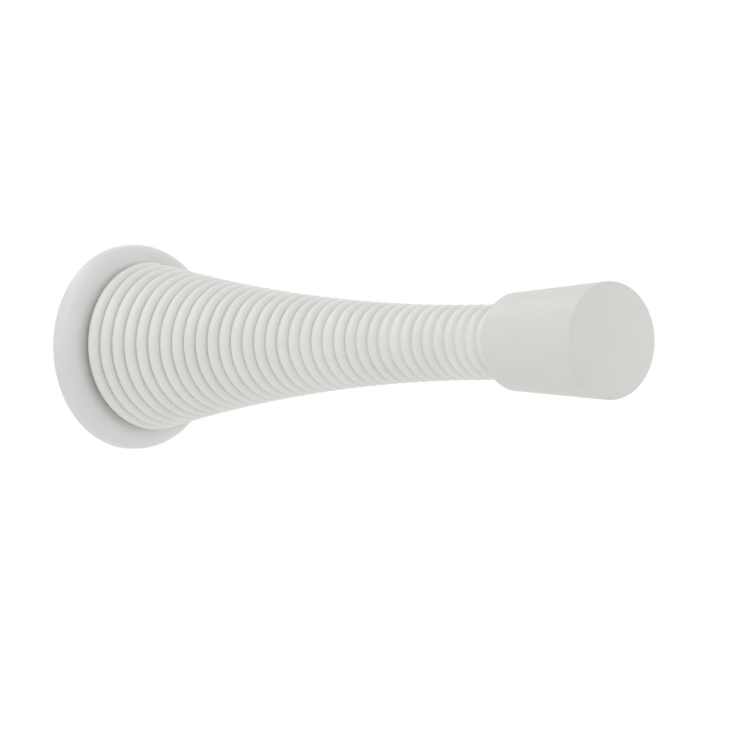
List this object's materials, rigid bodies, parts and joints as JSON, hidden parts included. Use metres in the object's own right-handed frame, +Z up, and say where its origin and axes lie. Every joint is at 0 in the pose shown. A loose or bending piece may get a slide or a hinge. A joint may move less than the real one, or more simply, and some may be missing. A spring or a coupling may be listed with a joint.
{
  "type": "spring door stop",
  "caption": "Wall-mounted door stop: a round cast flange with a central screw hole carries a flared close-wound spring with a tapered rubber tip that cushions the door.",
  "frame": {"origin": "centre of the flange's back face, on the axis of the screw hole", "axes": "+X along the axis from the wall to the rubber tip, +Z up"},
  "size_m": [0.0825, 0.0237, 0.0236],
  "materials": {
    "white_paint": "satin",
    "white_rubber": "matte"
  },
  "bodies": {
    "root": {"base": "white_paint", "spring": "white_paint", "bumper_tip": "white_rubber"}
  },
  "joints": []
}
